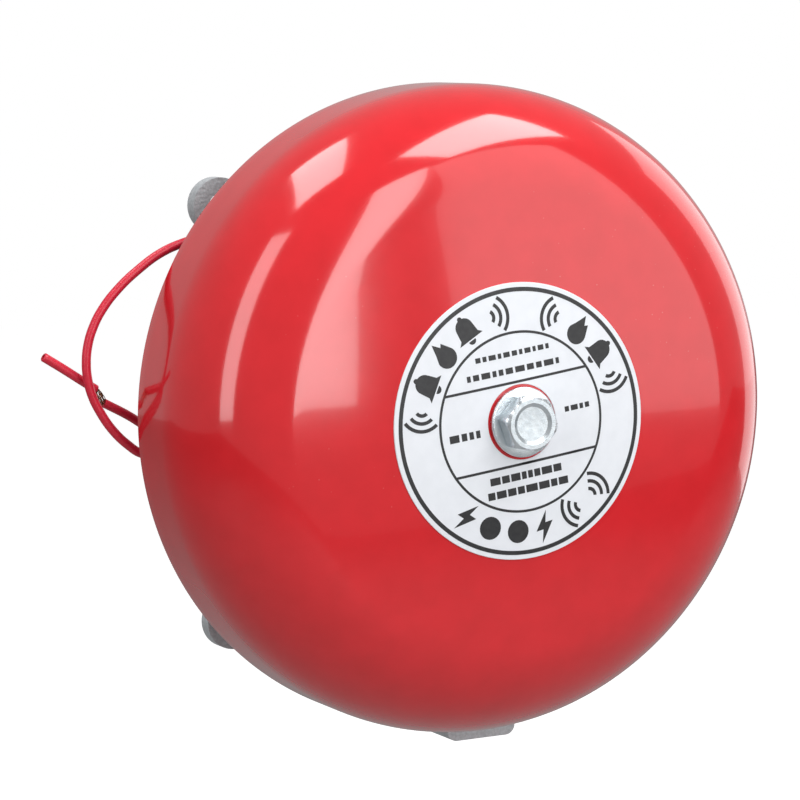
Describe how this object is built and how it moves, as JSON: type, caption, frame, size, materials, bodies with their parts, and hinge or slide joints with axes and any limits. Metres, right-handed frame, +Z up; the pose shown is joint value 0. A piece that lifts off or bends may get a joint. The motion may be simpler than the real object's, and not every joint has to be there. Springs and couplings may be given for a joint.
{
  "type": "fire alarm bell",
  "caption": "Wall-mounted fire alarm bell: a domed red gong held by a hex bolt over a cast base, struck from inside by a solenoid pin.",
  "frame": {"origin": "middle of the wall face, where the gong's axis meets the wall", "axes": "+Y points into the wall along the gong's axis, -Y is the bell's front, +X is the bell's right seen from the front and +Z is up"},
  "size_m": [0.1686, 0.0636, 0.1565],
  "materials": {
    "red_enamel": "gloss red enamel on steel",
    "white_label": "satin printed film",
    "hammertone": "light grey speckled hammertone paint on a casting",
    "zinc": "bright bluish zinc plating",
    "yoke_steel": "plated steel strip",
    "bare_steel": "turned steel",
    "brass": "turned brass",
    "copper_wire": "enamelled copper wire",
    "yellow_tape": "polyester insulating tape",
    "nylon": "natural moulded nylon",
    "black_rubber": "moulded black rubber",
    "red_lead": "extruded red PVC insulation"
  },
  "bodies": {
    "base": {"base_plate": "hammertone", "pan_wall_right": "hammertone", "pan_wall_top": "hammertone", "pan_wall_left": "hammertone", "pan_wall_bottom": "hammertone", "cable_boss": "hammertone", "lid_gasket": "black_rubber", "lid": "hammertone", "lid_screws": "zinc", "post_seal": "black_rubber", "centre_post": "zinc", "magnet_yoke": "yoke_steel", "yoke_screws": "zinc", "coil_bobbin": "nylon", "coil_winding": "copper_wire", "coil_tape": "yellow_tape", "guide_tube": "brass", "fixed_core": "bare_steel", "buffer_pad": "black_rubber", "guide_bush": "nylon", "pin_seal": "black_rubber", "terminal_block": "nylon", "terminal_screws": "brass", "coil_tails": "yellow_tape", "lead_tails": "red_lead", "earth_screw": "brass", "earth_washer": "brass", "lead_grommet": "black_rubber", "lead_a": "red_lead", "lead_b": "red_lead", "strands_a": "copper_wire", "strands_b": "copper_wire", "insulation_slug": "red_lead", "return_spring": "bare_steel"},
    "striker": {"plunger": "bare_steel", "striker_pin": "bare_steel", "striker_tip": "nylon"},
    "gong_carrier": {"gong_bush": "brass"},
    "gong": {"gong": "red_enamel", "gong_label": "white_label"},
    "washer": {"bolt_washer": "zinc"},
    "bolt": {"gong_bolt": "zinc"}
  },
  "joints": [
    {"name": "striker_slide", "type": "slide", "parent": "base", "child": "striker", "axis": [0, 0, -1], "range_m": [0, 0.0042], "stiffness_N_per_m": 120, "springref_m": -0.004, "deforming": ["return_spring"]},
    {"name": "gong_pull", "type": "slide", "parent": "base", "child": "gong_carrier", "axis": [0, -1, 0], "range_m": [0, 0.06]},
    {"name": "gong_turn", "type": "hinge", "parent": "gong_carrier", "child": "gong", "pos_m": [0, 0, 0], "axis": [0, -1, 0], "continuous": true},
    {"name": "bolt_washer_slide", "type": "slide", "parent": "gong_carrier", "child": "washer", "axis": [0, -1, 0], "range_m": [0, 0.015]},
    {"name": "gong_bolt_turn", "type": "hinge", "parent": "washer", "child": "bolt", "pos_m": [0, 0, 0], "axis": [0, -1, 0], "range_deg": [0, 4330]}
  ],
  "couplings": [
    {"joint": "gong_bolt_turn", "follows": "bolt_washer_slide", "rad_per_m": 5026.5}
  ]
}
